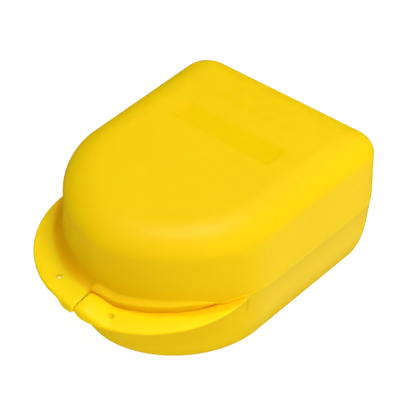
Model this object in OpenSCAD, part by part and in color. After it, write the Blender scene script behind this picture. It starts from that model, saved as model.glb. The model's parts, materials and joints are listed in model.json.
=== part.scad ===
// Mouthguard with its hinged carry case.
// The case is two injection-moulded shells, a tray and a domed lid, joined at
// the back by a pair of snap-in pin hinges and held shut at the nose by two
// half-crescent thumb tabs. The boil-and-bite mouthguard lies inside it.
// Frame: millimetres, +Z up, the case stands on its flat bottom at Z = 0, the
// round nose with the thumb tabs faces -Y and the hinge is at +Y. The origin
// is the middle of the whole outline on the ground.

/* [Case] */
// Width of the case where the round nose starts
case_w = 70; // [66:0.5:76]
// How much wider each side is at the back than at the nose
back_spread = 1.5; // [0:0.1:2]
// Length of the case from back wall to nose, without tabs and hinge
case_l = 89.7; // [84:0.1:96]
// Length of the rounded nose
front_l = 35.5; // [32:0.1:38]
// Fullness of the nose, 2 is an ellipse
front_n = 1.84; // [1.7:0.02:2.2]
// Plan radius of the two back corners
corner_r = 9.8; // [8:0.1:14]
// Height of the closed case
case_h = 48.2; // [44:0.1:54]
// Height of the parting line
split_z = 26.5; // [26:0.1:30]

/* [Walls] */
// Wall of the tray
tray_wall = 1.8; // [1.6:0.1:2.2]
// Wall of the lid
lid_wall = 1.6; // [1.4:0.1:1.8]
// Draft of the tray walls, degrees
tray_draft = 3; // [1:0.1:5]
// Draft of the lid walls, degrees
lid_draft = 3; // [2:0.1:8]
// Horizontal size of the round between tray wall and bottom
tray_round = 7.6; // [7:0.1:9]
// Height of that round
tray_round_h = 18.4; // [12:0.1:20]
// Horizontal size of the round between lid wall and top
lid_round = 11.3; // [8:0.1:12]
// Height of that round
lid_round_h = 6.5; // [5:0.1:10]
// How far the tray wall is set in under the lid edge
tray_inset = 0.1; // [0.05:0.05:0.4]
// Height of the locating lip inside the joint
lip_h = 1.4; // [0.8:0.1:1.8]

/* [Thumb tabs] */
// Radius of the tabs' outer edge
tab_r = 34.04; // [33:0.01:35]
// Thickness of a tab
tab_t = 1.4; // [1.2:0.1:1.6]
// Radius of the concave round where the lid's tab meets the wall
root_r = 4; // [2:0.5:5]
// Radius of the small hole in each tab
tab_hole_r = 0.85; // [0.6:0.05:1.2]
// Gap between the two tab ends
tab_gap = 0.3; // [0.2:0.05:0.6]

/* [Label panel] */
// Width of the recessed blank panel in the lid top
panel_w = 37.4; // [20:0.1:40]
// Depth of the recess
panel_d = 0.3; // [0.1:0.05:0.5]

/* [Hinge] */
// Distance of the hinge axis behind the back wall
hinge_off = 2.9; // [2.8:0.05:3.4]
// Radius of the knuckles
knuckle_r = 2.3; // [2:0.05:2.4]
// Radius of the moulded pins
pin_r = 1.1; // [0.9:0.05:1.2]
// Radial running clearance of the pins
pin_gap = 0.05; // [0.03:0.01:0.1]

/* [Mouthguard] */
// Half width of the arch, measured on its centre line
arch_w = 23.5; // [22:0.1:24]
// Depth of the arch, measured on its centre line
arch_l = 44; // [40:0.5:46]
// Height of the outer wall at the front teeth
guard_front_h = 19; // [16:0.5:20]
// Height of the outer wall at the back teeth
guard_back_h = 13; // [11:0.5:14]

/* [Hidden] */
$fn = 48;
back_y = 47.07;               // outer face of the back wall
nose_y0 = back_y - (case_l - front_l); // where the round nose starts
tab_cy = back_y - 65.3;       // centre of the tabs' outer edge
lid_front_l = front_l - 0.5;  // the lid's own nose, a little shorter and slimmer
lid_front_n = 1.77;
lip_w = 33.65;                // half width, length and fullness of the lip outline
lip_l = front_l + 1.25;
lip_n = 1.86;
lip_in = 0.75;                // inner face of the lip below the parting line
hinge_y = back_y + hinge_off;
tab_top = split_z + 1.3;      // upper face of the lid's tab
tray_tab_z = split_z - 2.2;   // lower face of the tray's tab
lip_z = split_z - 0.7;        // lower edge of the lip over the tray's tab
rest_z = 6;                   // top of the drain ribs, where the guard lies
nc = 7;                       // steps round a back corner
nf = 20;                      // steps from the side to the nose
td = tan(tray_draft);
ld = tan(lid_draft);

// ---- plan outline -------------------------------------------------------
// Right half of an outline, set in by ins, from the back to the nose. The
// nose is given as [length, fullness].
tray_nose = [front_l, front_n];
lid_nose = [lid_front_l, lid_front_n];
function half_plan(ins, nose) =
    let (hw = case_w / 2, hb = hw + back_spread - ins, r = max(corner_r - ins, 0.8),
         fl = nose[0], n = nose[1])
    concat(
        [for (i = [0:nc]) let (a = 90 - 90 * i / nc)
            [hb - r + r * cos(a), back_y - ins - r + r * sin(a)]],
        [for (i = [0:nf])
            let (t = 90 * i / nf, c = pow(cos(t), 2 / n), s = pow(sin(t), 2 / n),
                 gx = pow(c, n - 1) / hw, gy = pow(s, n - 1) / fl,
                 g = sqrt(gx * gx + gy * gy))
            [hw * c - ins * gx / g, nose_y0 - fl * s - ins * (-gy) / g]]);
function plan(ins, nose = tray_nose) =
    let (h = half_plan(ins, nose), n = len(h))
    concat(h, [for (i = [n - 2:-1:0]) [-h[i][0], h[i][1]]]);

// The same outline, swelling towards the edge of the lid's tab by up to f on
// the tab's half of the nose, which makes the concave round at its root.
function root_plan(ins, nose, f) = [for (p = plan(ins, nose))
    let (c = [p[0], p[1] - tab_cy], d = norm(c),
         w = (p[0] < -1 && p[1] < -10) ? min(1, max(0, tab_r - d - 0.4) / 6) : 0)
    p + c / d * f * w];

// A closed skin through rings given as [height, inset, nose, tab round].
module skin(rings) {
    outlines = [for (r = rings) [for (p = root_plan(r[1], r[2], len(r) > 3 ? r[3] : 0))
        [p[0], p[1], r[0]]]];
    n = len(outlines[0]);
    m = len(rings);
    polyhedron(
        points = [for (o = outlines) for (p = o) p],
        faces = concat(
            [[for (j = [n - 1:-1:0]) j]],
            [for (i = [0:m - 2]) for (j = [0:n - 1]) let (k = (j + 1) % n)
                [i * n + j, i * n + k, (i + 1) * n + k, (i + 1) * n + j]],
            [[for (j = [0:n - 1]) (m - 1) * n + j]]),
        convexity = 6);
}

// Crescent between the tabs' outer edge and an outline set in by ins.
module crescent(ins, nose) {
    difference() {
        translate([0, tab_cy]) circle(r = tab_r, $fn = 128);
        polygon(plan(ins, nose));
    }
}
module x_band(x0, x1) { translate([x0, -60]) square([x1 - x0, 50]); }
module tab_slab(z0, z1, x0, x1, ins, nose) {
    translate([0, 0, z0]) linear_extrude(height = z1 - z0)
        intersection() { crescent(ins, nose); x_band(x0, x1); }
}
// Right half of a nose of half width w, length l and fullness n.
module half_nose(w, l, n) {
    polygon(concat([[0, nose_y0]], [for (i = [0:27]) let (t = 90 * i / 27)
        [w * pow(cos(t), 2 / n), nose_y0 - l * pow(sin(t), 2 / n)]]));
}
// Outline of the lip on the lid's right half, grown by g.
module lip_outline(g) { half_nose(lip_w + g, lip_l + g, lip_n); }
// Band between the lip outline grown by g and the lid's nose set in by ins.
module lip_band(z0, z1, x0, g, ins, y1) {
    translate([0, 0, z0]) linear_extrude(height = z1 - z0)
        intersection() {
            difference() {
                lip_outline(g);
                half_nose(case_w / 2 - ins, lid_front_l - ins, lid_front_n);
            }
            translate([x0, -60]) square([40, 60 + y1]);
        }
}
module along_x(x0, x1, r) {
    translate([x0, hinge_y, split_z]) rotate([0, 90, 0]) cylinder(r = r, h = x1 - x0);
}

// ---- tray ---------------------------------------------------------------
tray_out = [for (i = [0:7]) let (a = 90 - 90 * i / 7)
    [tray_round_h * (1 - sin(a)),
     tray_inset + td * (split_z - tray_round_h) + tray_round * (1 - cos(a)), tray_nose]];
tray_in = [for (i = [0:6]) let (a = 90 * i / 6)
    [tray_wall + (tray_round_h - tray_wall) * (1 - sin(a)),
     tray_inset + tray_wall + td * (split_z - tray_round_h)
        + (tray_round - tray_wall) * (1 - cos(a)), tray_nose]];
module case_tray() {
    color([0.93, 0.79, 0.05])
    difference() {
        union() {
            skin(concat(tray_out, [
                [split_z - 0.1, tray_inset, tray_nose],
                [split_z - 0.1, 1.85, lid_nose],
                [split_z + lip_h - 0.3, 1.95, lid_nose],
                [split_z + lip_h, 2.15, lid_nose],
                [split_z + lip_h, 2.6, lid_nose],
                [split_z - 1.6, 2.6, lid_nose],
                [split_z - 3, tray_inset + tray_wall + 0.15, tray_nose]],
                tray_in));
            // half-crescent thumb tab and its thick raised end at the middle
            tab_slab(tray_tab_z, tray_tab_z + tab_t, 1.25, 40, 1.2, tray_nose);
            difference() {
                union() {
                    for (h = [[1.25, 4.9, 1.1], [4.8, 6.3, 0.6], [6.2, 7.5, 0.1], [7.4, 8.6, -0.4]])
                        tab_slab(tray_tab_z, split_z + h[2], h[0], h[1], -0.3, tray_nose);
                }
                translate([0, 0, tray_tab_z + tab_t]) linear_extrude(height = 5) lip_outline(0.15);
            }
            // drain ribs that carry the mouthguard
            for (r = [[-20, 20], [-2, 24], [14, 24]])
                translate([-r[1], r[0] - 0.8, 1]) cube([2 * r[1], 1.6, rest_z - 1]);
            // hinge ears
            for (s = [-1, 1]) for (e = [[9.6, 12.2], [21.8, 24.4]]) {
                x0 = s > 0 ? e[0] : -e[1];
                x1 = s > 0 ? e[1] : -e[0];
                along_x(x0, x1, knuckle_r);
                translate([x0, back_y - 1.7, split_z - knuckle_r])
                    cube([x1 - x0, hinge_off + 1.7, knuckle_r - 0.2]);
            }
        }
        // rebate for the lid's lip
        lip_band(tray_tab_z + tab_t, split_z + 0.5, 0.8, 0.15, lip_in + 0.15, -17);
        for (s = [-1, 1]) translate([s * 17 - 9, 0, 0]) along_x(0, 18, pin_r + pin_gap);
        translate([10.6, -45.9, tray_tab_z - 1]) cylinder(r = tab_hole_r, h = 4);
    }
}

// ---- lid ----------------------------------------------------------------
lid_in = [for (i = [0:6]) let (a = 90 - 90 * i / 6)
    [case_h - lid_round_h + (lid_round_h - lid_wall) * sin(a),
     lid_wall + ld * (case_h - lid_round_h - split_z) + (lid_round - lid_wall) * (1 - cos(a)),
     lid_nose]];
lid_out = [for (i = [0:7]) let (a = 90 * i / 7)
    [case_h - lid_round_h + lid_round_h * sin(a),
     ld * (case_h - lid_round_h - split_z) + lid_round * (1 - cos(a)),
     lid_nose]];
module panel_outline(w, d, r) {
    union() {
        translate([-w / 2, -d / 2 + r]) square([w, d - 2 * r]);
        translate([-w / 2 + r, -d / 2]) square([w - 2 * r, d]);
        for (x = [-1, 1]) for (y = [-1, 1])
            translate([x * (w / 2 - r), y * (d / 2 - r)]) circle(r = r, $fn = 32);
    }
}
module case_lid() {
    color([0.97, 0.83, 0.08])
    difference() {
        union() {
            skin(concat(lid_in, [
                [split_z, lid_wall, lid_nose],
                [split_z, 0, lid_nose],
                [tab_top, ld * 1.3, lid_nose, root_r],
                [tab_top + root_r * 0.08, ld * 1.6, lid_nose, root_r * 0.61],
                [tab_top + root_r * 0.2, ld * 2.1, lid_nose, root_r * 0.4],
                [tab_top + root_r * 0.45, ld * 3.1, lid_nose, root_r * 0.17],
                [tab_top + root_r, ld * (1.3 + root_r), lid_nose]],
                lid_out));
            // half-crescent thumb tab with its turned-down end
            tab_slab(split_z + 0.05, tab_top, -40, 1.25 - tab_gap, 1, lid_nose);
            tab_slab(split_z - 1.9, split_z + 0.1, -1.9, 1.25 - tab_gap, -0.3, tray_nose);
            // lip over the tray's tab
            lip_band(split_z + 0.05, split_z + 0.7, 0.5, 0, 0.8, -19);
            lip_band(split_z + 0.05, split_z + 1.3, 0.5, -0.6, 0.8, -19);
            lip_band(lip_z, split_z + 0.1, 1.25 - tab_gap, 0, lip_in, -19);
            // hinge knuckles with their moulded pins
            for (s = [-1, 1]) {
                x0 = s * 17 - 4.5;
                along_x(x0, x0 + 9, knuckle_r);
                along_x(x0 - 2.7, x0 + 11.7, pin_r);
                translate([x0, back_y - 1.2, split_z + 0.2])
                    cube([9, hinge_off + 1.2, knuckle_r - 0.2]);
            }
        }
        translate([0, 15.2, case_h - panel_d]) linear_extrude(height = 2)
            panel_outline(panel_w, 9, 2.4);
        translate([-9.6, -45.9, split_z - 2]) cylinder(r = tab_hole_r, h = 4);
    }
}

// ---- mouthguard ---------------------------------------------------------
// Station k of the arch: u runs from -1 at one end, through 0 at the front.
ns = 36;
arch_y = 17;
function arch_pt(u) = let (f = 90 * u) [arch_w * sin(f), arch_y - arch_l * cos(f)];
function arch_nm(u) = let (f = 90 * u, x = arch_l * sin(f), y = -arch_w * cos(f),
    g = sqrt(x * x + y * y)) [x / g, y / g];
function blend(u) = pow(abs(u), 1.6);                     // 0 at front, 1 at the ends
function half_w(u) = 4.7 + 0.9 * blend(u);                // half width of the bite
function outer_h(u) = guard_front_h + (guard_back_h - guard_front_h) * blend(u)
    - 2.4 * max(0, 1 - abs(u) / 0.16) * max(0, 1 - abs(u) / 0.16); // lip notch
function inner_h(u) = 11.5 - 2.5 * blend(u);
// Section points as [outward, up]: outside of the shell, the face between
// shell and liner, and the inside of the liner.
function sec_a(u) = let (w = half_w(u), o = outer_h(u), i = inner_h(u)) [
    [w + 0.2, o], [w + 0.9, o - 0.7], [w + 0.9, o * 0.5], [w + 0.3, 2.0], [w - 1.2, 0.3],
    [w - 2.4, 0], [-w + 2.4, 0], [-w + 1.2, 0.3], [-w - 0.1, 1.8], [-w - 0.3, i * 0.6],
    [-w + 0.2, i - 0.6], [-w + 0.8, i]];
function sec_b(u) = let (w = half_w(u), o = outer_h(u), i = inner_h(u)) [
    [w - 0.5, o], [w - 0.5, o - 0.9], [w - 0.6, o * 0.5], [w - 1.1, 3.2], [w - 2.1, 2.1],
    [w - 2.9, 1.9], [-w + 2.9, 1.9], [-w + 2.3, 2.1], [-w + 1.4, 3.0], [-w + 1.2, i * 0.6],
    [-w + 1.4, i - 0.9], [-w + 1.3, i]];
function sec_c(u) = let (w = half_w(u), o = outer_h(u), i = inner_h(u)) [
    [w - 1.4, o - 0.5], [w - 1.9, o - 1.4], [w - 2.0, o * 0.5], [w - 2.4, 4.6], [w - 3.1, 3.8],
    [w - 3.7, 3.6], [-w + 3.7, 3.6], [-w + 3.3, 3.8], [-w + 2.7, 4.4], [-w + 2.6, i * 0.6],
    [-w + 2.4, i - 1.3], [-w + 2.1, i - 0.4]];
// The liner's own outer face, a hair inside the shell's inner face.
function bond(u) = let (s = sec_b(u), n = len(s)) [for (i = [0:n - 1])
    let (a = s[max(i - 1, 0)], b = s[min(i + 1, n - 1)], d = b - a, g = norm(d))
    s[i] + [d[1], -d[0]] / g * 0.04];
// Solid swept along the arch between the section curves p (outside) and q.
module arch_solid(kind) {
    rings = [for (k = [0:ns]) let (u = -1 + 2 * k / ns, c = arch_pt(u), m = arch_nm(u),
        p = kind == 0 ? sec_a(u) : bond(u), q = kind == 0 ? sec_b(u) : sec_c(u),
        s = concat(p, [for (i = [len(q) - 1:-1:0]) q[i]]))
        [for (v = s) [c[0] + m[0] * v[0], c[1] + m[1] * v[0], rest_z + v[1]]]];
    n = len(rings[0]);
    h = n / 2;
    polyhedron(
        points = [for (r = rings) for (p = r) p],
        faces = concat(
            [for (j = [0:h - 2]) [j, j + 1, n - 2 - j, n - 1 - j]],
            [for (i = [0:ns - 1]) for (j = [0:n - 1]) let (k = (j + 1) % n)
                [i * n + j, (i + 1) * n + j, (i + 1) * n + k, i * n + k]],
            [for (j = [0:h - 2]) let (b = ns * n) [b + n - 1 - j, b + n - 2 - j, b + j + 1, b + j]]),
        convexity = 8);
}
module mouthguard_shell() { color([0.95, 0.82, 0.15]) arch_solid(0); }
module mouthguard_liner() { color([0.88, 0.90, 0.90]) arch_solid(1); }

case_tray();
case_lid();
mouthguard_shell();
mouthguard_liner();
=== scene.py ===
# Mouthguard with its hinged carry case: the looks.
# All lengths below are millimetres in the row frame; meshes are scaled to metres.
import math, json

import bpy, bmesh
import numpy as np
from mathutils import Vector, Matrix
from mathutils.geometry import tessellate_polygon


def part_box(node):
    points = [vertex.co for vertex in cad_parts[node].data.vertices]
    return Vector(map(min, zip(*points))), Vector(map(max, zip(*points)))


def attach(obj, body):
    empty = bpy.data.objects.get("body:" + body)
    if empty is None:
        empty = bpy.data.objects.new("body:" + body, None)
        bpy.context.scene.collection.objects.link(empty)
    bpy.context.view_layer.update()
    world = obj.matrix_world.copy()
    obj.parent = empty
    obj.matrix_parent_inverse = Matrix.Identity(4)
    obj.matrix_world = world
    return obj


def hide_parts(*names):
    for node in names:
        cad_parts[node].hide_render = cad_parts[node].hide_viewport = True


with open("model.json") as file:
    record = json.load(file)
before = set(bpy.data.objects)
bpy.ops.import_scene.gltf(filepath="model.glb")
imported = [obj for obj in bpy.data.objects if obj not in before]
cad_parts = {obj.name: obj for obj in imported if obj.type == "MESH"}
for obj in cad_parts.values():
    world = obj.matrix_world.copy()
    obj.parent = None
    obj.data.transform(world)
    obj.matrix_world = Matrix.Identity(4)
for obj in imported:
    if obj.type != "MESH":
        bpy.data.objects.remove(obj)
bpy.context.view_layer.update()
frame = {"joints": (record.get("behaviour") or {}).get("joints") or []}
scene = bpy.context.scene
MM = 0.001

# ------------------------------------------------------------------ the frame
tray_lo, tray_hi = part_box("case_tray")
lid_lo, lid_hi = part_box("case_lid")
hinge = [j for j in frame["joints"] if j["name"] == "lid_hinge"][0]
HY, HZ = hinge["pos_m"][1] / MM, hinge["pos_m"][2] / MM     # hinge axis
H = lid_hi.z / MM                                           # height of the closed case
SZ = HZ                                                     # parting line

# plan of the case
HW, SPREAD = 35.0, 1.5
CL, FL, FN, RC = 89.7, 35.5, 1.84, 9.8
LFL, LFN = 35.0, 1.77                                       # the lid's own nose
LIPW, LIPL, LIPN = 33.95, 37.15, 1.86                       # outline of the lip over the tray's tab
BACK = HY - 2.9
Y0 = BACK - (CL - FL)
TCY, TR = BACK - 65.3, 34.04                                # centre and radius of the tabs' edge
LD, TD = math.tan(math.radians(3.0)), math.tan(math.radians(3.0))
LW, TW = 1.6, 1.8                                           # walls
LR, LRH = 11.3, 6.5                                         # lid round
BR, BRH = 7.6, 18.4                                         # tray round
TI = 0.04                                                   # tray set in under the lid


def smooth(x, a, b):
    t = np.clip((np.asarray(x, float) - a) / (b - a), 0.0, 1.0)
    return t * t * (3 - 2 * t)


# ------------------------------------------------------------------ columns round the plan
def columns():
    """Right half, from the middle of the back to the nose: kind and parameter of each column."""
    cols = [("b", f) for f in np.linspace(0, 1, 9)[:-1]]
    cols += [("c", a) for a in np.linspace(90, 0, 19)]
    cols += [("s", f) for f in np.linspace(0, 1, 15)[1:-1]]
    x_near = [0.0, 0.3, 0.5, 0.64, 0.79, 0.92, 1.02, 1.09, 1.14, 1.17, 1.20, 1.23, 1.28, 1.35, 1.45, 1.58, 1.76, 1.98]
    x_near += list(np.arange(2.25, 11.9, 0.35))
    t_end = math.degrees(math.acos((x_near[-1] / HW) ** (FN / 2)))
    ts = list(np.linspace(0, t_end, 58)[:-1])
    ts += [math.degrees(math.acos((x / HW) ** (FN / 2))) for x in x_near[::-1]]
    cols += [("f", t) for t in ts]
    return cols


HALF = columns()
KIND = np.array([k for k, _ in HALF])
PAR = np.array([p for _, p in HALF], float)
NH = len(HALF)
IDX = np.concatenate([np.arange(NH), np.arange(NH - 2, 0, -1)])   # whole loop: right half, then left
SIDE = np.concatenate([np.ones(NH), -np.ones(NH - 2)])
N = len(IDX)
K, P = KIND[IDX], PAR[IDX]
is_b, is_c, is_s, is_f = K == "b", K == "c", K == "s", K == "f"
t_f = np.radians(np.where(is_f, P, 0.0))
cf, sf = np.cos(t_f).clip(0) ** (2 / FN), np.sin(t_f).clip(0) ** (2 / FN)
gx, gy = cf ** (FN - 1) / HW, sf ** (FN - 1) / FL
gn = np.hypot(gx, gy)
nfx, nfy = gx / gn, -gy / gn                                 # outward normal of the nose


def ring(a):
    """Plan points of all columns, set in by a (an array or a number, negative is outwards)."""
    a = np.broadcast_to(np.asarray(a, float), (N,))
    hb = HW + SPREAD - a
    r = np.maximum(RC - a, 0.8)
    cx, cy = hb - r, BACK - a - r
    x, y = np.zeros(N), np.zeros(N)
    x = np.where(is_b, P * cx, x)
    y = np.where(is_b, BACK - a, y)
    ang = np.radians(np.where(is_c, P, 0.0))
    x = np.where(is_c, cx + r * np.cos(ang), x)
    y = np.where(is_c, cy + r * np.sin(ang), y)
    x = np.where(is_s, hb + (HW - a - hb) * P, x)
    y = np.where(is_s, cy + (Y0 - cy) * P, y)
    x = np.where(is_f, HW * cf - a * nfx, x)
    y = np.where(is_f, Y0 - FL * sf - a * nfy, y)
    return np.stack([x * SIDE, y], 1)


PLAN = ring(0.0)
nrm = np.stack([nfx * SIDE, nfy], 1)
rel = PLAN - np.array([0.0, TCY])
b_ = (rel * nrm).sum(1)
c_ = (rel ** 2).sum(1) - TR ** 2
disc = np.maximum(b_ ** 2 - c_, 0.0)
ETAB = np.where(is_f & (PLAN[:, 1] < -8), np.maximum(-b_ + np.sqrt(disc), 0.0), 0.0)  # how far the tabs stand out


def along(hw, fl, fn):
    """Distance outwards, along each nose column's normal, to another nose outline."""
    t = np.linspace(-0.1, math.pi / 2 + 0.1, 3000)
    c, q = np.cos(t), np.sin(t)
    curve = np.stack([hw * np.sign(c) * np.abs(c) ** (2 / fn), Y0 - fl * np.sign(q) * np.abs(q) ** (2 / fn)], 1)
    out = np.zeros(N)
    for j in np.where(is_f)[0]:
        p = np.array([abs(PLAN[j, 0]), PLAN[j, 1]])
        n = np.array([abs(nrm[j, 0]), nrm[j, 1]])
        side = (curve - p) @ np.array([-n[1], n[0]])          # zero where the normal meets the curve
        dist = (curve - p) @ n
        k = np.where((side[:-1] * side[1:] <= 0) & (np.abs(dist[:-1]) < 6))[0]
        if len(k):
            k = k[0]
            w = side[k] / (side[k] - side[k + 1] + 1e-12)
            out[j] = dist[k] * (1 - w) + dist[k + 1] * w
    return out


LCUT = np.maximum(-along(HW, LFL, LFN), 0.0)                 # how far the lid's nose is set back
ELIP = along(LIPW, LIPL, LIPN)                               # how far the lip stands out
XW = PLAN[:, 0]                                              # x of each column on the wall
LEFT = XW <= 1.15                                            # the lid's tab
NOSE = np.where(is_f, sf * np.abs(nfy), 0.0)                 # 1 at the nose, 0 at the sides


# ------------------------------------------------------------------ profiles
def rounded(ctrl, radii, steps):
    """Rounded polyline per column. ctrl: list of (a, z) arrays; radii and steps for each inner point."""
    Q = [np.stack([np.broadcast_to(a, (N,)), np.broadcast_to(z, (N,))], 1).astype(float) for a, z in ctrl]
    rows = [Q[0]]
    for k in range(1, len(Q) - 1):
        A, B, C = Q[k - 1], Q[k], Q[k + 1]
        u, v = A - B, C - B
        lu = np.maximum(np.linalg.norm(u, axis=1), 1e-9)
        lv = np.maximum(np.linalg.norm(v, axis=1), 1e-9)
        u, v = u / lu[:, None], v / lv[:, None]
        half = np.arccos(np.clip((u * v).sum(1), -1, 1)) / 2
        r = np.broadcast_to(np.asarray(radii[k - 1], float), (N,))
        tl = np.minimum(r / np.maximum(np.tan(half), 1e-6), 0.49 * np.minimum(lu, lv))
        P0, P2, w = B + u * tl[:, None], B + v * tl[:, None], np.sin(half)
        m = steps[k - 1]
        for s in (np.linspace(0, 1, m + 1) if m else [0.5]):
            den = (1 - s) ** 2 + 2 * s * (1 - s) * w + s * s
            rows.append(((1 - s) ** 2 * P0 + (2 * s * (1 - s) * w)[:, None] * B + s * s * P2) / den[:, None])
    rows.append(Q[-1])
    return rows


def loft(rows, name):
    """bmesh of a closed skin through rows of (inset, height) per column, without its two end caps."""
    bm = bmesh.new()
    grid = []
    for r in rows:
        pts = ring(r[:, 0])
        grid.append([bm.verts.new((pts[j, 0] * MM, pts[j, 1] * MM, r[j, 1] * MM)) for j in range(N)])
    for i in range(len(grid) - 1):
        for j in range(N):
            k = (j + 1) % N
            # columns run clockwise seen from above, rows run inside-down-outside-up
            bm.faces.new((grid[i][k], grid[i][j], grid[i + 1][j], grid[i + 1][k]))
    return bm, grid


def ell(a_wall, z_wall, ra, rz, draft, n, up=1):
    """Quarter-ellipse rows that leave a drafted wall smoothly and end flat."""
    f0 = math.atan(draft * rz / ra)
    out = []
    for f in np.linspace(f0, math.pi / 2, n + 1):
        a = a_wall + ra * (math.cos(f0) - math.cos(f))
        z = z_wall + up * rz * (math.sin(f) - math.sin(f0))
        out.append(np.stack([np.broadcast_to(a, (N,)), np.broadcast_to(z, (N,))], 1).astype(float))
    return out, rz * (1 - math.sin(f0))


def cap(bm, loop, flip, holes=()):
    """Fills a flat loop of bmesh verts, leaving out hole loops."""
    loops = [loop] + list(holes)
    flat = [v for lp in loops for v in lp]
    tris = tessellate_polygon([[v.co for v in lp] for lp in loops])
    for t in tris:
        vs = [flat[i] for i in t]
        n = (vs[1].co - vs[0].co).cross(vs[2].co - vs[0].co)
        if (n.z < 0) != flip:
            vs.reverse()
        try:
            bm.faces.new(vs)
        except ValueError:
            pass


def finish_mesh(bm, name, smooth_deg=40):
    bmesh.ops.remove_doubles(bm, verts=bm.verts, dist=2e-6)
    bmesh.ops.dissolve_degenerate(bm, edges=bm.edges, dist=1e-6)
    bmesh.ops.recalc_face_normals(bm, faces=bm.faces)
    me = bpy.data.meshes.new(name)
    bm.to_mesh(me)
    bm.free()
    ob = bpy.data.objects.new(name, me)
    scene.collection.objects.link(ob)
    return ob


def shade(ob, deg=38):
    me = ob.data
    bm = bmesh.new()
    bm.from_mesh(me)
    lim = math.radians(deg)
    for f in bm.faces:
        f.smooth = True
    for e in bm.edges:
        e.smooth = not (len(e.link_faces) == 2 and e.calc_face_angle(0.0) > lim)
    bm.to_mesh(me)
    bm.free()


def apply_modifiers(ob):
    dg = bpy.context.evaluated_depsgraph_get()
    me = bpy.data.meshes.new_from_object(ob.evaluated_get(dg))
    old = ob.data
    ob.modifiers.clear()
    ob.data = me
    me.name = ob.name
    bpy.data.meshes.remove(old)


def boolean(ob, tool, op):
    m = ob.modifiers.new("cut", "BOOLEAN")
    m.operation, m.object, m.solver = op, tool, "EXACT"
    apply_modifiers(ob)
    me = tool.data
    bpy.data.objects.remove(tool)
    bpy.data.meshes.remove(me)


def round_bar(bm, x0, x1, r, y, z, n=40, e=0.25):
    """Cylinder along X with rounded rims."""
    prof = [(x0, 0.0), (x0, r - e), (x0 + 0.3 * e, r - 0.3 * e), (x0 + e, r), (x1 - e, r),
            (x1 - 0.3 * e, r - 0.3 * e), (x1, r - e), (x1, 0.0)]
    rings_ = []
    for x, q in prof:
        if q == 0.0:
            rings_.append([bm.verts.new((x * MM, y * MM, z * MM))])
        else:
            rings_.append([bm.verts.new((x * MM, (y + q * math.cos(2 * math.pi * i / n)) * MM,
                                         (z + q * math.sin(2 * math.pi * i / n)) * MM)) for i in range(n)])
    for a, b in zip(rings_, rings_[1:]):
        for i in range(n):
            k = (i + 1) % n
            if len(a) == 1:
                bm.faces.new((a[0], b[k], b[i]))
            elif len(b) == 1:
                bm.faces.new((a[i], a[k], b[0]))
            else:
                bm.faces.new((a[i], a[k], b[k], b[i]))


def prism(bm, outline, x0, x1):
    """Prism along X from (y, z) points."""
    lo = [bm.verts.new((x0 * MM, y * MM, z * MM)) for y, z in outline]
    hi = [bm.verts.new((x1 * MM, y * MM, z * MM)) for y, z in outline]
    n = len(outline)
    bm.faces.new(lo)
    bm.faces.new(hi[::-1])
    for i in range(n):
        k = (i + 1) % n
        bm.faces.new((lo[k], lo[i], hi[i], hi[k]))


def tool_object(fill, name):
    bm = bmesh.new()
    fill(bm)
    bmesh.ops.recalc_face_normals(bm, faces=bm.faces)
    me = bpy.data.meshes.new(name)
    bm.to_mesh(me)
    bm.free()
    ob = bpy.data.objects.new(name, me)
    scene.collection.objects.link(ob)
    return ob


def z_cyl(bm, x, y, z0, z1, r, n=32):
    lo = [bm.verts.new(((x + r * math.cos(2 * math.pi * i / n)) * MM, (y + r * math.sin(2 * math.pi * i / n)) * MM, z0 * MM)) for i in range(n)]
    hi = [bm.verts.new((v.co.x, v.co.y, z1 * MM)) for v in lo]
    bm.faces.new(lo[::-1])
    bm.faces.new(hi)
    for i in range(n):
        k = (i + 1) % n
        bm.faces.new((lo[i], lo[k], hi[k], hi[i]))


# ------------------------------------------------------------------ lid
TAB_TOP = SZ + 1.3
PANEL_Y = 15.2


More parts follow.
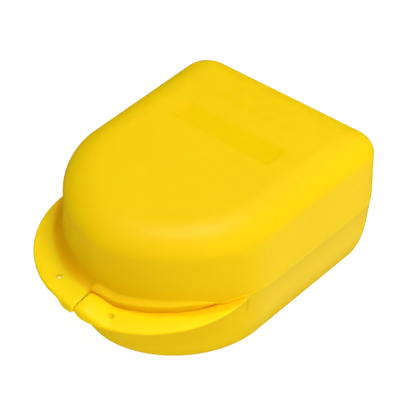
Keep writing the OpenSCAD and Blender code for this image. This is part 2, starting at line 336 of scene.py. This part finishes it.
def make_lid():
    cut = LCUT
    on = smooth(ETAB, 0.15, 1.8)                             # 0 outside the tabs, 1 on them
    lt = np.where(LEFT, on, 0.0)                             # the lid's own tab
    lip = np.where(LEFT, 0.0, np.maximum(ELIP + cut, 0.0))   # width of the lip beyond the lid's wall
    lon = smooth(lip, 0.05, 1.0)
    end = 1.14 - XW                                          # distance from the tab's end
    er = 0.5
    q = np.clip(er - end, 0, er)
    bite = np.where(LEFT & is_f, er - np.sqrt(np.maximum(er ** 2 - q ** 2, 0)), 0.0)  # rounds the tab's end edge
    nub = np.where(LEFT & is_f, smooth(XW, -3.4, -1.1), 0.0)        # turned-down end
    fade = np.where(~LEFT & is_f, 1 - smooth(XW, 2.6, 8.2), 0.0) * lon      # small boss where the root round ends
    low = np.where(LEFT & is_f, 1.1 * np.clip((1.1 - end) / 1.1, 0, 1) ** 2, 0.0)   # and its lower corner more
    z_l = np.where(LEFT, TAB_TOP - bite, SZ + 0.02 + 1.2 * lon + 1.0 * fade)
    z_s = np.where(LEFT, z_l, z_l + 0.65 * lon)              # the lip's top slopes up to the wall
    z_k = np.where(LEFT, SZ - 2.1 * nub + low, SZ - 1.13 * lon)
    s_in = np.where(LEFT, 1.0 - 1.3 * nub, 1.0 - 0.2 * lon) + np.where(LEFT & (nub > 0), -0.0, cut)
    e_o = np.where(LEFT, np.maximum(-cut, ETAB) - bite - 0.2 * np.exp(-((XW + 4.4) / 1.6) ** 2) * lt, np.maximum(lip - cut, -cut))
    e_o = np.where(LEFT & (lt <= 0), -cut, e_o)
    z_l = np.where(LEFT & (lt <= 0), SZ + 0.02, z_l)
    z_s = np.where(LEFT, z_l, z_s)
    root = np.where(LEFT, 0.15 + (4.2 - 1.7 * smooth(XW, -7, 0.5)) * lt, 0.1 + 0.7 * lon)
    rb = np.where(LEFT, 0.06 + 0.45 * lt + 0.6 * nub, 0.03)
    rtop = np.where(LEFT, 0.06 + 0.9 * lt, 0.06 + 0.75 * lon)
    wall = lambda z: cut + LD * (z - SZ)
    zi = H - LW
    z_w, z_wi = None, None
    outer_round, used = ell(wall(H - LRH), H - LRH, LR, LRH, LD, 18)
    # shift so the round ends exactly at the top
    dz = H - outer_round[-1][0, 1]
    for r in outer_round:
        r[:, 1] += dz
        r[:, 0] += LD * dz
    inner_round, _ = ell(wall(H - LRH) + LW, H - LRH, LR - LW, LRH - LW, LD, 10)
    dz = zi - inner_round[-1][0, 1]
    for r in inner_round:
        r[:, 1] += dz
        r[:, 0] += LD * dz
    inner = inner_round[::-1]
    body = rounded(
        [(inner[-1][:, 0], inner[-1][:, 1]), (LW + cut, SZ), (s_in, SZ - 0.005), (s_in, z_k), (-e_o, z_k), (-e_o, z_l),
         (wall(z_s), z_s), (outer_round[0][:, 0], outer_round[0][:, 1])],
        [0.2, 0.08, 0.12, rb, rtop, root], [2, 1, 2, 4, 6, 8])
    # a few more rows up the wall keep the quads short
    top = body[-1]
    foot = body[-2]
    wallrows = [foot + (top - foot) * f for f in (0.04, 0.1, 0.2, 0.35, 0.55, 0.78)]
    rows = inner[:-1] + body[:-1] + wallrows + outer_round
    bm, grid = loft(rows, "lid")
    cap(bm, grid[0], True)
    # label panel: shallow blank recess with soft edges
    holes = []

    def pit(cx, cy, w, d, r, depth, soft, nseg=8):
        def rr(g, z):
            pts = []
            ww, dd, q = w / 2 - g, d / 2 - g, max(r - g, 0.05)
            for sx, sy, a0 in ((1, 1, 0), (-1, 1, 90), (-1, -1, 180), (1, -1, 270)):
                for i in range(nseg + 1):
                    a = math.radians(a0 + 90 * i / nseg)
                    pts.append(bm.verts.new(((cx + sx * (ww - q) + q * math.cos(a)) * MM,
                                             (cy + sy * (dd - q) + q * math.sin(a)) * MM, z * MM)))
            return pts
        prof = []
        for i in range(9):
            f = i / 8
            prof.append((soft * f, H - depth * (f * f * (3 - 2 * f))))
        loops = [rr(g, z) for g, z in prof]
        for a, b in zip(loops, loops[1:]):
            n = len(a)
            for i in range(n):
                k = (i + 1) % n
                bm.faces.new((a[i], a[k], b[k], b[i]))
        cap(bm, loops[-1], False)
        holes.append(loops[0])
    pit(0, PANEL_Y, 39.0, 10.6, 3.0, 0.22, 2.4)
    cap(bm, grid[-1], False, holes)
    ob = finish_mesh(bm, "lid_shell")

    def knuckles(bm):
        for s in (-1, 1):
            x0 = s * 17 - 4.5
            round_bar(bm, x0, x0 + 9, 2.3, HY, HZ)
    def webs(bm):
        for s in (-1, 1):
            x0 = s * 17 - 4.5
            prism(bm, [(BACK - 1.2, HZ + 0.25), (HY - 0.2, HZ + 0.25), (HY + 0.1, HZ + 2.28), (HY - 0.6, HZ + 2.7),
                       (BACK - 0.2, HZ + 3.3), (BACK - 1.2, HZ + 3.4)], x0 + 0.15, x0 + 8.85)
    def pins(bm):
        for s in (-1, 1):
            x0 = s * 17 - 4.5
            round_bar(bm, x0 - 2.75, x0 + 11.75, 1.1, HY, HZ, 28, 0.2)
    for t in (webs, knuckles, pins):
        boolean(ob, tool_object(t, "tool"), "UNION")
    boolean(ob, tool_object(lambda b: z_cyl(b, -9.6, -45.9, SZ - 3, SZ + 2, 0.85), "tool"), "DIFFERENCE")
    shade(ob)
    return ob


# ------------------------------------------------------------------ tray
def make_tray():
    tb = np.where(XW > 1.215, 1.0, 0.0) * (ETAB > 0.0)
    on = smooth(ETAB, 0.05, 0.6) * tb
    z_b, z_t = SZ - 2.2, SZ - 1.15
    er = 0.5
    end = XW - 1.23
    q = np.clip(er - end, 0, er)
    bite = np.where(tb > 0, er - np.sqrt(np.maximum(er ** 2 - q ** 2, 0)), 0.0)
    low = 1.15 * np.clip((3.2 - end) / 3.2, 0, 1) ** 2 * on   # the thick end's lower edge is rounded well back
    hump = np.where(tb > 0, 1 - smooth(XW, 3.0, 10.0), 0.0) * 2.25
    wall = lambda z: TI + TD * (SZ - z)
    a_o = np.where(on > 0, wall(z_b) * (1 - on) - np.maximum(ETAB - bite - 0.45 * low, 0.0) * on, wall(z_b) - 0.02)
    lip = np.where(XW > 1.0, np.maximum(ELIP + LCUT, 0.0), 0.0)
    reb = smooth(lip, 0.0, 0.5)                              # rim set back under the lid's lip
    a_rim = TI + 0.02 + reb * (0.9 + LCUT - TI)
    zt = z_t + hump - bite * on
    zb = z_b + low
    a_pad = np.where(on > 0.5, np.minimum(-(ELIP + 0.06), a_rim - 0.05), a_rim - 0.02)
    a_pad = np.maximum(a_pad, a_o + 0.02)
    outer_round, _ = ell(wall(BRH), BRH, BR, BRH, TD, 22, up=-1)
    dz = outer_round[-1][0, 1]
    for r in outer_round:
        r[:, 1] -= dz
        r[:, 0] += TD * dz
    inner_round, _ = ell(wall(BRH) + TW, BRH, BR - TW, BRH - TW, TD, 14, up=-1)
    dz = inner_round[-1][0, 1] - TW
    for r in inner_round:
        r[:, 1] -= dz
        r[:, 0] += TD * dz
    ctrl = [(outer_round[0][:, 0], outer_round[0][:, 1]),
            (wall(z_b), z_b + 0.3 * low), (a_o, zb), (a_o, zt), (a_pad, zt), (a_pad + 0.05, z_t + 0.0 * hump), (a_rim, z_t + 0.02),
            (a_rim, SZ - 0.06), (1.85 + LCUT, SZ - 0.06), (2.1 + LCUT, SZ + 1.4),
            (2.65 + LCUT, SZ + 1.4), (2.65 + LCUT, SZ - 1.4), (inner_round[0][:, 0] , SZ - 3.0),
            (inner_round[0][:, 0], inner_round[0][:, 1])]
    pad = np.where(hump > 0.02, 1.0, 0.0) * on
    radii = [0.5 * on + 0.02, 0.5 * on + 0.01, (0.75 + 0.8 * hump / 2.0) * on + 0.01, 0.3 * pad + 0.005, 0.1 * pad + 0.005, 0.12, 0.1, 0.2,
             0.3, 0.25, 0.3, 0.6]
    steps = [3, 4, 4, 3, 1, 1, 2, 1, 2, 2, 1, 2]
    body = rounded(ctrl, radii, steps)
    rows = outer_round[::-1][:-1] + body[:-1] + inner_round
    # rows from the outer bottom up: outer face outside, so reverse the order for the loft
    bm, grid = loft(rows, "tray")
    cap(bm, grid[0], True)
    cap(bm, grid[-1], False)
    ob = finish_mesh(bm, "tray_shell")

    def ears(bm):
        for s in (-1, 1):
            for e0, e1 in ((9.6, 12.2), (21.8, 24.4)):
                x0, x1 = (e0, e1) if s > 0 else (-e1, -e0)
                round_bar(bm, x0, x1, 2.3, HY, HZ)
    def webs(bm):
        for s in (-1, 1):
            for e0, e1 in ((9.6, 12.2), (21.8, 24.4)):
                x0, x1 = (e0, e1) if s > 0 else (-e1, -e0)
                prism(bm, [(BACK - 1.7, HZ - 0.2), (HY - 0.2, HZ - 0.2), (HY + 0.2, HZ - 2.2), (HY - 0.5, HZ - 3.2),
                           (BACK - 0.4, HZ - 6.5), (BACK - 1.7, HZ - 7.5)], x0 + 0.12, x1 - 0.12)
    for t in (webs, ears):
        boolean(ob, tool_object(t, "tool"), "UNION")

    def ribs(bm):
        for y, w in ((-20, 20), (-2, 24), (14, 24)):
            bmesh.ops.create_cube(bm, size=1.0, matrix=Matrix.Translation((0, y * MM, 3.5 * MM)) @
                                  Matrix.Diagonal((2 * w * MM, 1.6 * MM, 5 * MM, 1)))
        bmesh.ops.bevel(bm, geom=[e for e in bm.edges if all(v.co.z > 3 * MM for v in e.verts)],
                        offset=0.35 * MM, segments=3, affect="EDGES")
    boolean(ob, tool_object(ribs, "tool"), "UNION")

    def bores(bm):
        for s in (-1, 1):
            round_bar(bm, s * 17 - 9, s * 17 + 9, 1.15, HY, HZ, 28, 0.1)
        z_cyl(bm, 10.6, -45.9, SZ - 5, SZ + 2, 0.85)
    boolean(ob, tool_object(bores, "tool"), "DIFFERENCE")
    shade(ob)
    return ob


# ------------------------------------------------------------------ mouthguard
REST = 6.0
AW, AL, AY = 23.5, 44.0, 17.0


def arch(kind, ns=96, sub=1):
    us = np.linspace(-1, 1, ns + 1)
    b = np.abs(us) ** 1.6
    w = 4.7 + 0.9 * b
    o = 19 + (13 - 19) * b - 2.4 * np.maximum(0, 1 - np.abs(us) / 0.16) ** 2
    i = 11.5 - 2.5 * b
    c = np.stack([AW * np.sin(us * math.pi / 2), AY - AL * np.cos(us * math.pi / 2)], 1)
    m = np.stack([AL * np.sin(us * math.pi / 2), -AW * np.cos(us * math.pi / 2)], 1)
    m /= np.linalg.norm(m, axis=1)[:, None]
    A = [(w + 0.2, o), (w + 0.9, o - 0.7), (w + 0.9, o * 0.5), (w + 0.3, 2.0 + 0 * w), (w - 1.2, 0.3 + 0 * w),
         (w - 2.4, 0 * w), (-w + 2.4, 0 * w), (-w + 1.2, 0.3 + 0 * w), (-w - 0.1, 1.8 + 0 * w), (-w - 0.3, i * 0.6),
         (-w + 0.2, i - 0.6), (-w + 0.8, i)]
    B = [(w - 0.5, o), (w - 0.5, o - 0.9), (w - 0.6, o * 0.5), (w - 1.1, 3.2 + 0 * w), (w - 2.1, 2.1 + 0 * w),
         (w - 2.9, 1.9 + 0 * w), (-w + 2.9, 1.9 + 0 * w), (-w + 2.3, 2.1 + 0 * w), (-w + 1.4, 3.0 + 0 * w),
         (-w + 1.2, i * 0.6), (-w + 1.4, i - 0.9), (-w + 1.3, i)]
    C = [(w - 1.4, o - 0.5), (w - 1.9, o - 1.4), (w - 2.0, o * 0.5), (w - 2.4, 4.6 + 0 * w), (w - 3.1, 3.8 + 0 * w),
         (w - 3.7, 3.6 + 0 * w), (-w + 3.7, 3.6 + 0 * w), (-w + 3.3, 3.8 + 0 * w), (-w + 2.7, 4.4 + 0 * w),
         (-w + 2.6, i * 0.6), (-w + 2.4, i - 1.3), (-w + 2.1, i - 0.4)]
    sec = (A + B[::-1]) if kind == 0 else ([(x, z) for x, z in B] + C[::-1])
    bm = bmesh.new()
    grid = []
    for k in range(ns + 1):
        row = []
        for x, z in sec:
            row.append(bm.verts.new(((c[k, 0] + m[k, 0] * x[k]) * MM, (c[k, 1] + m[k, 1] * x[k]) * MM, (REST + z[k]) * MM)))
        grid.append(row)
    n = len(sec)
    for k in range(ns):
        for j in range(n):
            q = (j + 1) % n
            bm.faces.new((grid[k][j], grid[k + 1][j], grid[k + 1][q], grid[k][q]))
    h = n // 2
    for row in (grid[0], grid[-1]):
        for j in range(h - 1):
            bm.faces.new((row[j], row[j + 1], row[n - 2 - j], row[n - 1 - j]))
    ob = finish_mesh(bm, "guard_shell" if kind == 0 else "guard_liner")
    s = ob.modifiers.new("s", "SUBSURF")
    s.levels = s.render_levels = 1
    apply_modifiers(ob)
    shade(ob, 60)
    return ob


# ------------------------------------------------------------------ materials
def nodes_of(name):
    mat = bpy.data.materials.new(name)
    mat.use_nodes = True
    nt = mat.node_tree
    nt.nodes.clear()
    out = nt.nodes.new("ShaderNodeOutputMaterial")
    bsdf = nt.nodes.new("ShaderNodeBsdfPrincipled")
    nt.links.new(bsdf.outputs[0], out.inputs[0])
    return mat, nt, bsdf


def lin(r, g, b):
    f = lambda c: (c / 255 / 12.92) if c / 255 <= 0.04045 else ((c / 255 + 0.055) / 1.055) ** 2.4
    return (f(r), f(g), f(b), 1.0)


def plastic(name, col, tab=None, rough=0.36, spec=0.07, sss=0.6, panel=False):
    mat, nt, b = nodes_of(name)
    L = nt.links.new
    tc = nt.nodes.new("ShaderNodeTexCoord")
    n1 = nt.nodes.new("ShaderNodeTexNoise")                  # fine spark-eroded mould texture
    n1.inputs["Scale"].default_value = 2600
    n1.inputs["Detail"].default_value = 3
    n2 = nt.nodes.new("ShaderNodeTexNoise")                  # slow waviness of a moulded wall
    n2.inputs["Scale"].default_value = 55
    n2.inputs["Detail"].default_value = 2
    n3 = nt.nodes.new("ShaderNodeTexNoise")                  # handling marks
    n3.inputs["Scale"].default_value = 210
    n3.inputs["Detail"].default_value = 6
    n3.inputs["Roughness"].default_value = 0.7
    for n in (n1, n2, n3):
        L(tc.outputs["Object"], n.inputs["Vector"])
    mix = nt.nodes.new("ShaderNodeMix")
    mix.data_type = "RGBA"
    mix.inputs[6].default_value = col
    mix.inputs[7].default_value = (col[0] * 0.96, col[1] * 0.93, col[2] * 0.9, 1)
    L(n2.outputs["Fac"], mix.inputs[0])
    ao = nt.nodes.new("ShaderNodeAmbientOcclusion")          # painted shade: base colour darkened and turned more orange in corners where ambient occlusion is high, standing in for light that bounces inside a corner
    ao.samples = 6
    ao.inputs["Distance"].default_value = 0.012
    painted_corner_shade = nt.nodes.new("ShaderNodeMix")
    painted_corner_shade.data_type = "RGBA"
    painted_corner_shade.blend_type = "MULTIPLY"
    painted_corner_shade.inputs[7].default_value = (1.14, 0.80, 0.2, 1)
    corner_shade_amount = nt.nodes.new("ShaderNodeMapRange")
    corner_shade_amount.inputs["From Min"].default_value = 0.75
    corner_shade_amount.inputs["From Max"].default_value = 0.3
    L(ao.outputs["AO"], corner_shade_amount.inputs["Value"])
    L(corner_shade_amount.outputs[0], painted_corner_shade.inputs[0])
    L(mix.outputs[2], painted_corner_shade.inputs[6])
    L(painted_corner_shade.outputs[2], b.inputs["Base Color"])
    mr = nt.nodes.new("ShaderNodeMapRange")
    mr.inputs["From Min"].default_value = 0.35
    mr.inputs["From Max"].default_value = 0.75
    mr.inputs["To Min"].default_value = rough - 0.04
    mr.inputs["To Max"].default_value = rough + 0.08
    L(n3.outputs["Fac"], mr.inputs["Value"])
    L(mr.outputs[0], b.inputs["Roughness"])
    b.inputs["Specular IOR Level"].default_value = spec
    b.inputs["Subsurface Weight"].default_value = sss
    b.inputs["Subsurface Radius"].default_value = (1.0, 0.6, 0.1)
    b.inputs["Subsurface Scale"].default_value = 0.0006

    def math_node(op, a, c=None):
        m = nt.nodes.new("ShaderNodeMath")
        m.operation = op
        for k, v in enumerate((a, c)):
            if v is None:
                continue
            if isinstance(v, (int, float)):
                m.inputs[k].default_value = v
            else:
                L(v, m.inputs[k])
        return m.outputs[0]

    sep = nt.nodes.new("ShaderNodeSeparateXYZ")
    L(tc.outputs["Object"], sep.inputs[0])
    # painted light: the thin tabs get a lighter base colour, standing in for light that passes through them from below
    ex = math_node("POWER", math_node("DIVIDE", math_node("ABSOLUTE", sep.outputs[0]), HW * MM), FN)
    ey = math_node("DIVIDE", math_node("SUBTRACT", Y0 * MM, sep.outputs[1]), FL * MM)
    ey = math_node("POWER", math_node("MAXIMUM", ey, 0.0), FN)
    tab_light_ramp = nt.nodes.new("ShaderNodeMapRange")                  # 1 at the wall, 1.5 at the tabs' edge
    tab_light_ramp.interpolation_type = "SMOOTHSTEP"
    tab_light_ramp.inputs["From Min"].default_value = 1.075
    tab_light_ramp.inputs["From Max"].default_value = 1.16
    L(math_node("ADD", ex, ey), tab_light_ramp.inputs["Value"])
    front = math_node("LESS_THAN", sep.outputs[1], (Y0 - 5) * MM)
    tab_painted_light_mask = math_node("MULTIPLY", tab_light_ramp.outputs[0], front)
    tab_painted_light_mix = nt.nodes.new("ShaderNodeMix")
    tab_painted_light_mix.data_type = "RGBA"
    tab_painted_light_mix.inputs[7].default_value = tab or col
    L(tab_painted_light_mask, tab_painted_light_mix.inputs[0])
    L(painted_corner_shade.outputs[2], tab_painted_light_mix.inputs[6])
    base = tab_painted_light_mix.outputs[2]
    if panel:                                                # painted shade: deeper orange base colour where the lid's wall meets its tab, standing in for light caught in that corner

        def ramp(v, lo, hi):
            d = nt.nodes.new("ShaderNodeMapRange")
            d.interpolation_type = "SMOOTHSTEP"
            d.inputs["From Min"].default_value = lo
            d.inputs["From Max"].default_value = hi
            L(v, d.inputs["Value"])
            return d.outputs[0]
        root_shade_mask = math_node("MULTIPLY", ramp(math_node("ADD", ex, ey), 1.16, 1.04), ramp(sep.outputs[2], (SZ + 9) * MM, (SZ + 1.5) * MM))
        root_shade_mask = math_node("MULTIPLY", math_node("MULTIPLY", root_shade_mask, ramp(sep.outputs[0], 4 * MM, -9 * MM)), front)
        root_painted_shade = nt.nodes.new("ShaderNodeMix")
        root_painted_shade.data_type = "RGBA"
        root_painted_shade.blend_type = "MULTIPLY"
        root_painted_shade.inputs[7].default_value = (1.17, 0.93, 0.5, 1)
        L(root_shade_mask, root_painted_shade.inputs[0])
        L(base, root_painted_shade.inputs[6])
        base = root_painted_shade.outputs[2]
    L(base, b.inputs["Base Color"])

    if panel:

        def soft_box(cx, cy, hx, hy, soft):
            """1 inside a box in plan, fading out over soft metres."""
            dx = math_node("SUBTRACT", math_node("ABSOLUTE", math_node("SUBTRACT", sep.outputs[0], cx)), hx)
            dy = math_node("SUBTRACT", math_node("ABSOLUTE", math_node("SUBTRACT", sep.outputs[1], cy)), hy)
            d = nt.nodes.new("ShaderNodeMapRange")
            d.interpolation_type = "SMOOTHSTEP"
            d.inputs["From Min"].default_value = soft
            d.inputs["From Max"].default_value = -soft
            L(math_node("MAXIMUM", dx, dy), d.inputs["Value"])
            return d.outputs[0]
        up = math_node("GREATER_THAN", sep.outputs[2], (H - 1.0) * MM)
        area_ = math_node("MULTIPLY", soft_box(0, PANEL_Y * MM, 0.0187, 0.0045, 0.0009), up)
        marks = None
        for x, y in [(q, 28.0) for q in (-11.6, -5.8, -0.3, 5.2, 10.9)] + [(q, 33.6) for q in (-10.4, -4.1, 1.8, 8.2)]:
            m = soft_box(x * MM, y * MM, 0.0017, 0.0013, 0.0011)
            marks = m if marks is None else math_node("MAXIMUM", marks, m)
        marks = math_node("MULTIPLY", marks, up)
        both = math_node("MAXIMUM", area_, math_node("MULTIPLY", marks, 0.75))
        pm = nt.nodes.new("ShaderNodeMix")                   # the panel is moulded duller and a touch deeper in colour
        pm.data_type = "RGBA"
        pm.blend_type = "MULTIPLY"
        pm.inputs[7].default_value = (0.975, 0.962, 0.6, 1)
        L(both, pm.inputs[0])
        L(base, pm.inputs[6])
        L(pm.outputs[2], b.inputs["Base Color"])
        L(math_node("MULTIPLY", math_node("SUBTRACT", 1.0, math_node("MULTIPLY", both, 0.7)), spec), b.inputs["Specular IOR Level"])
    bu = nt.nodes.new("ShaderNodeBump")
    bu.inputs["Strength"].default_value = 0.10
    bu.inputs["Distance"].default_value = 0.00002
    L(n1.outputs["Fac"], bu.inputs["Height"])
    bu2 = nt.nodes.new("ShaderNodeBump")
    bu2.inputs["Strength"].default_value = 0.10
    bu2.inputs["Distance"].default_value = 0.0004
    L(n2.outputs["Fac"], bu2.inputs["Height"])
    L(bu.outputs[0], bu2.inputs["Normal"])
    L(bu2.outputs[0], b.inputs["Normal"])
    return mat


# the second colour of each plastic is the tabs' lighter colour, painted light for light passing through the thin tabs
LID_MAT = plastic("lid_plastic", (0.855, 0.574, 0.001, 1), (0.90, 0.66, 0.001, 1), panel=True)
TRAY_MAT = plastic("tray_plastic", (0.85, 0.576, 0.001, 1), (0.95, 0.66, 0.001, 1))
SHELL_MAT = plastic("guard_shell_eva", lin(248, 206, 40), rough=0.3, spec=0.5, sss=0.3)
LINER_MAT = plastic("guard_liner_gel", lin(232, 234, 232), rough=0.22, spec=0.5, sss=0.5)

# ------------------------------------------------------------------ pieces
lid = make_lid()
lid.data.materials.clear()
lid.data.materials.append(LID_MAT)
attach(lid, "lid")
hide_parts("case_lid")

tray = make_tray()
tray.data.materials.clear()
tray.data.materials.append(TRAY_MAT)
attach(tray, "tray")
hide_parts("case_tray")

g0 = arch(0)
g0.data.materials.append(SHELL_MAT)
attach(g0, "mouthguard")
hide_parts("mouthguard_shell")
g1 = arch(1)
g1.data.materials.append(LINER_MAT)
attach(g1, "mouthguard")
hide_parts("mouthguard_liner")

# ------------------------------------------------------------------ floor, light, camera
fm, nt, b = nodes_of("floor_paper")
b.inputs["Emission Color"].default_value = (1, 1, 1, 1)
b.inputs["Emission Strength"].default_value = 0.96
b.inputs["Base Color"].default_value = (0.16, 0.16, 0.16, 1)
b.inputs["Roughness"].default_value = 0.9
b.inputs["Specular IOR Level"].default_value = 0.1
bm = bmesh.new()
bmesh.ops.create_grid(bm, x_segments=1, y_segments=1, size=3.0)
me = bpy.data.meshes.new("floor")
bm.to_mesh(me)
bm.free()
floor = bpy.data.objects.new("floor", me)
floor.location = (0, 0, 0)
scene.collection.objects.link(floor)
floor.data.materials.append(fm)
floor.visible_shadow = False
floor.visible_glossy = False                                # the plastic shows no mirror of the paper

bm = bmesh.new()                                            # a round white backdrop far behind, seen only in low views
bmesh.ops.create_cone(bm, cap_ends=False, segments=96, radius1=2.6, radius2=2.6, depth=3.6)
me = bpy.data.meshes.new("backdrop")
bm.to_mesh(me)
bm.free()
back = bpy.data.objects.new("backdrop", me)
back.location = (0, 0, 1.79)
scene.collection.objects.link(back)
back.data.materials.append(fm)
back.visible_diffuse = False
back.visible_glossy = False
back.visible_transmission = False
back.visible_shadow = False

world = bpy.data.worlds.new("studio")
scene.world = world
world.use_nodes = True
bg = world.node_tree.nodes["Background"]
bg.inputs[0].default_value = (1, 1, 1, 1)
wt = world.node_tree
wc = wt.nodes.new("ShaderNodeTexCoord")                      # a tent that is brighter above and to the right
wd = wt.nodes.new("ShaderNodeVectorMath")
wd.operation = "DOT_PRODUCT"
wd.inputs[1].default_value = Vector((0.50, 0.02, 1.0)).normalized()
wt.links.new(wc.outputs["Generated"], wd.inputs[0])
wm = wt.nodes.new("ShaderNodeMapRange")
wm.inputs["From Min"].default_value = -0.05
wm.inputs["From Max"].default_value = 1.0
wm.inputs["To Min"].default_value = 0.0
wm.inputs["To Max"].default_value = 1.20
wt.links.new(wd.outputs["Value"], wm.inputs["Value"])
wt.links.new(wm.outputs[0], bg.inputs[1])
wk = wt.nodes.new("ShaderNodeMix")                           # low light is a little warmer
wk.data_type = "RGBA"
wk.inputs[6].default_value = (1.0, 0.82, 0.54, 1)
wk.inputs[7].default_value = (0.94, 1, 1, 1)
wt.links.new(wd.outputs["Value"], wk.inputs[0])
wt.links.new(wk.outputs[2], bg.inputs[0])


def area(name, loc, target, size, power, col=(1, 1, 1)):
    ld = bpy.data.lights.new(name, "AREA")
    ld.shape = "DISK"
    ld.size = size
    ld.energy = power
    ld.color = col
    ob = bpy.data.objects.new(name, ld)
    ob.location = loc
    d = Vector(target) - Vector(loc)
    ob.rotation_euler = d.to_track_quat("-Z", "Y").to_euler()
    scene.collection.objects.link(ob)
    return ob


key = area("key_top", (0.30, 0.06, 0.85), (0, 0, 0.03), 0.42, 3.6, (0.94, 1, 1))
key.visible_glossy = False                                  # its gloss comes from the next light
glint = area("glint_top", (-0.065, 0.200, 0.915), (0, 0, 0.03), 0.28, 5.4)      # only adds gloss
glint.visible_diffuse = False
sheen = area("sheen_right", (0.30, 0.36, -0.40), (0, 0, 0.02), 0.4, 0.28)   # soft sheen from below the light table
sheen.visible_diffuse = False
area("fill_right", (0.75, 0.05, 0.22), (0, 0, 0.02), 0.5, 0.05)

cam = bpy.data.cameras.new("camera")
co = bpy.data.objects.new("camera", cam)
scene.collection.objects.link(co)
AZ, EL, ROLL = math.radians(40.174), math.radians(41.257), math.radians(0.777)
r_ = Vector((math.cos(AZ), math.sin(AZ), 0))
f_ = Vector((-math.sin(AZ) * math.cos(EL), math.cos(AZ) * math.cos(EL), -math.sin(EL)))
u_ = r_.cross(f_)
rr_ = r_ * math.cos(ROLL) + u_ * math.sin(ROLL)
uu_ = -r_ * math.sin(ROLL) + u_ * math.cos(ROLL)
co.matrix_world = Matrix.Translation(Vector((176.384, -249.216 + BACK, 263.721)) * MM) @ Matrix((
    (rr_.x, uu_.x, -f_.x, 0), (rr_.y, uu_.y, -f_.y, 0), (rr_.z, uu_.z, -f_.z, 0), (0, 0, 0, 1)))
cam.sensor_width = 36
cam.lens = 103.88
cam.clip_start, cam.clip_end = 0.02, 20
scene.camera = co
scene.view_settings.view_transform = "Standard"
scene.view_settings.look = "None"
